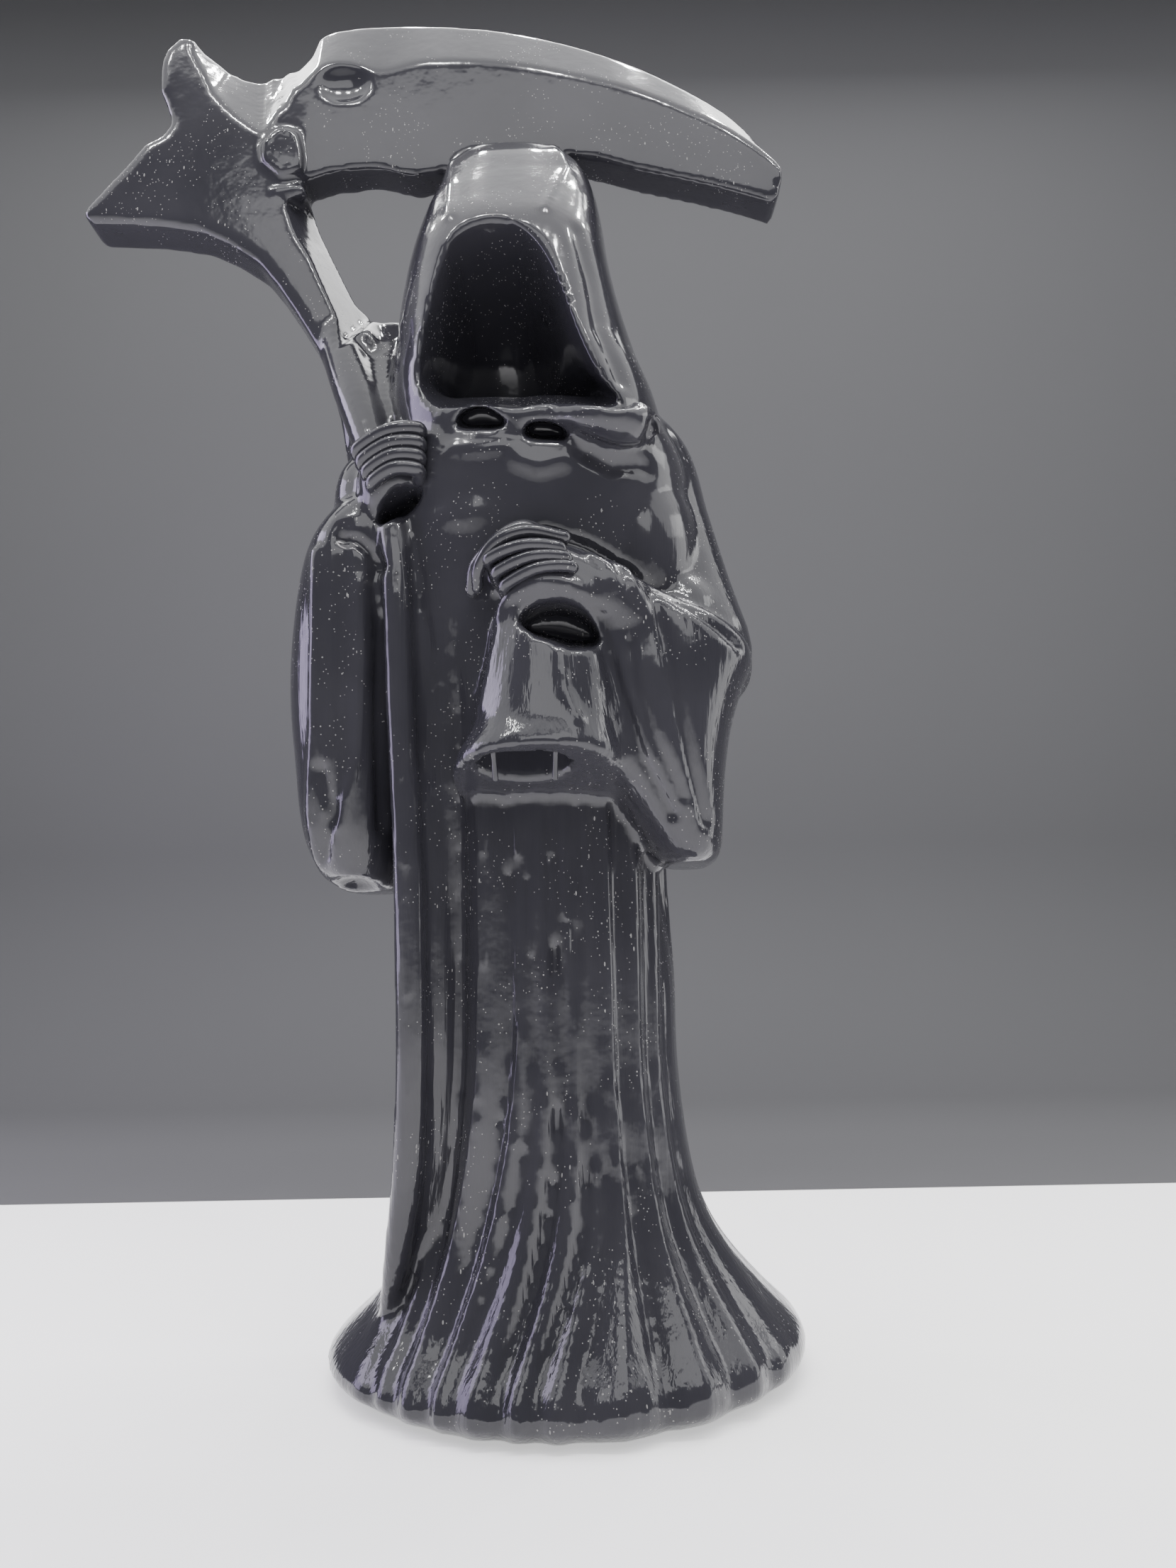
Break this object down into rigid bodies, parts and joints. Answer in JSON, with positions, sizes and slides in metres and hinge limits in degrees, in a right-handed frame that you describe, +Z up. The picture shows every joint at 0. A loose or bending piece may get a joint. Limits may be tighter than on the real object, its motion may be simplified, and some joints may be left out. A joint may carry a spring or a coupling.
{
  "type": "grim reaper figurine",
  "caption": "Standing hooded reaper with an empty hood, long draped robe and wide sleeves, holding a scythe whose blade arches over the hood; carved from one polished black stone",
  "frame": {"origin": "on the ground under the middle of the base, on the flat underside", "axes": "+Z up, the figure faces -Y, and the scythe staff is on the -X side"},
  "size_m": [0.117, 0.0545, 0.2199],
  "materials": {
    "obsidian": "polished volcanic glass, near black"
  },
  "bodies": {
    "root": {"grim_reaper": "obsidian"}
  },
  "joints": []
}
